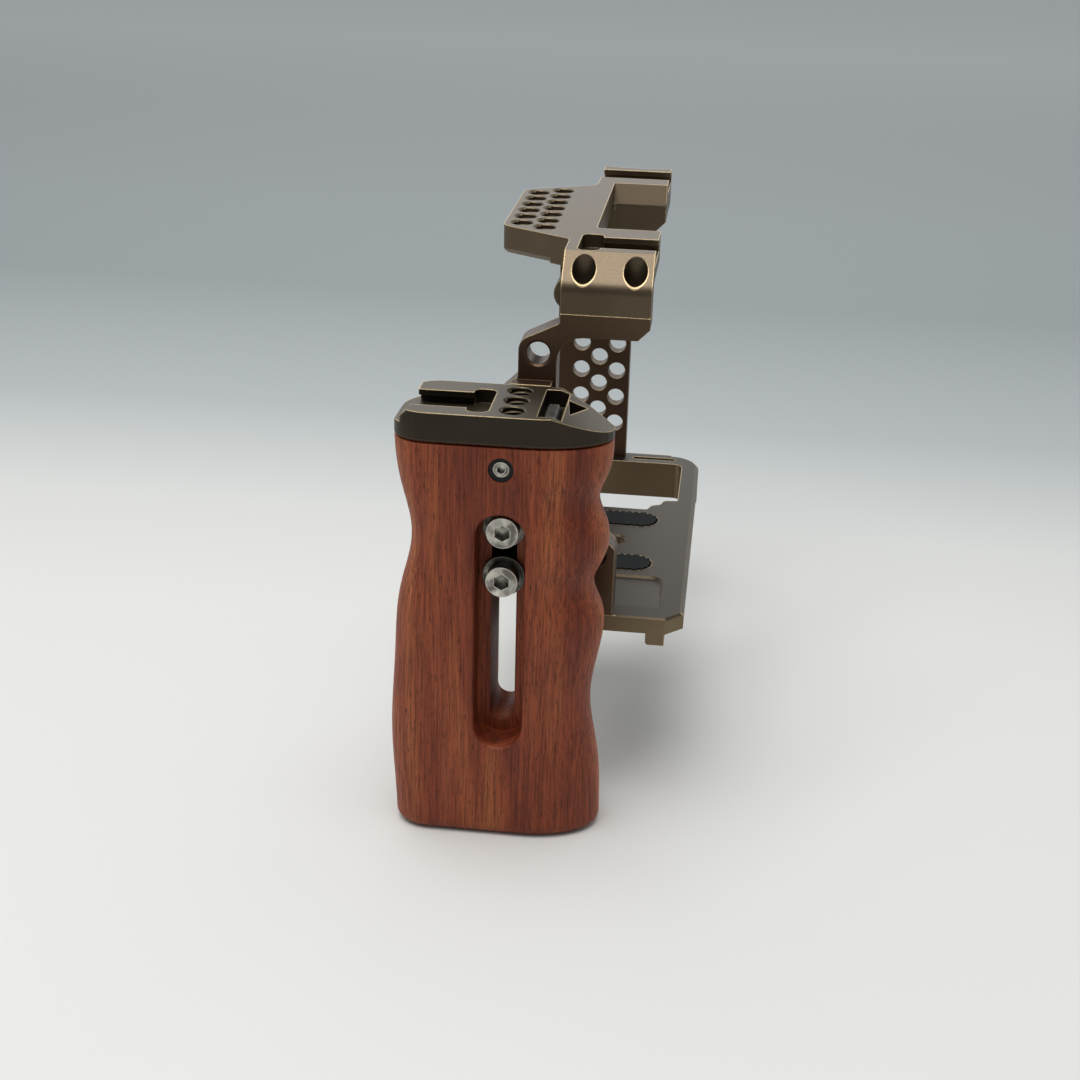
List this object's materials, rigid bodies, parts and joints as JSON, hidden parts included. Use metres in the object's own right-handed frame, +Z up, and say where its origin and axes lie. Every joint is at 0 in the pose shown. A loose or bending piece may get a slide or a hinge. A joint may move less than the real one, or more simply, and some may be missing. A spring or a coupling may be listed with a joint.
{
  "type": "camera cage",
  "caption": "Open metal cage that wraps a camera, with a slotted base, a wing of threaded holes, accessory shoes and a wooden side handle on a height slot.",
  "frame": {"origin": "on the deck of the base, on the lens axis, level with the clamp screws", "axes": "+X towards the side handle, +Y towards the rear of the camera, +Z up"},
  "size_m": [0.1645, 0.0801, 0.1612],
  "materials": {
    "bronze_alloy": "satin, anodised bronze, bright bevelled edges",
    "grip_wood": "oiled, satin",
    "dark_steel": "blackened, worn bright on the faces",
    "pad_rubber": "matt",
    "washer_plastic": "matt"
  },
  "bodies": {
    "cage": {"base_plate": "bronze_alloy", "pad_far": "pad_rubber", "pad_near": "pad_rubber", "near_frame": "bronze_alloy", "far_frame": "bronze_alloy", "top_plate": "bronze_alloy", "near_foot_screws": "dark_steel", "far_foot_screws": "dark_steel", "near_top_screws": "dark_steel", "far_top_screws": "dark_steel", "near_dowels": "dark_steel", "far_dowels": "dark_steel"},
    "handle": {"handle_wood": "grip_wood", "handle_cap": "bronze_alloy", "cap_bolt": "dark_steel", "cap_sleeve": "washer_plastic", "cap_nut": "dark_steel", "key_magnet": "dark_steel"},
    "key": {"hex_key": "dark_steel"},
    "clamp_upper": {"clamp_screw_upper": "dark_steel", "clamp_washer_upper": "dark_steel"},
    "clamp_lower": {"clamp_screw_lower": "dark_steel", "clamp_washer_lower": "dark_steel"},
    "screw_carriage": {"camera_screw_washer": "washer_plastic"},
    "camera_bolt": {"camera_screw": "dark_steel"}
  },
  "joints": [
    {"name": "handle_height", "type": "slide", "parent": "cage", "child": "handle", "axis": [0, 0, 1], "range_m": [0, 0.042]},
    {"name": "clamp_upper_turn", "type": "hinge", "parent": "cage", "child": "clamp_upper", "pos_m": [0.08, 0, 0.035], "axis": [1, 0, 0], "continuous": true},
    {"name": "clamp_lower_turn", "type": "hinge", "parent": "cage", "child": "clamp_lower", "pos_m": [0.08, 0, 0.0206], "axis": [1, 0, 0], "continuous": true},
    {"name": "camera_screw_shift", "type": "slide", "parent": "cage", "child": "screw_carriage", "axis": [0, 1, 0], "range_m": [-0.008, 0.0083]},
    {"name": "camera_screw_turn", "type": "hinge", "parent": "screw_carriage", "child": "camera_bolt", "pos_m": [0.0019, 0.0165, 0], "axis": [0, 0, 1], "continuous": true},
    {"name": "key_pull", "type": "slide", "parent": "handle", "child": "key", "axis": [0, 0, 1], "range_m": [0, 0.03]}
  ]
}
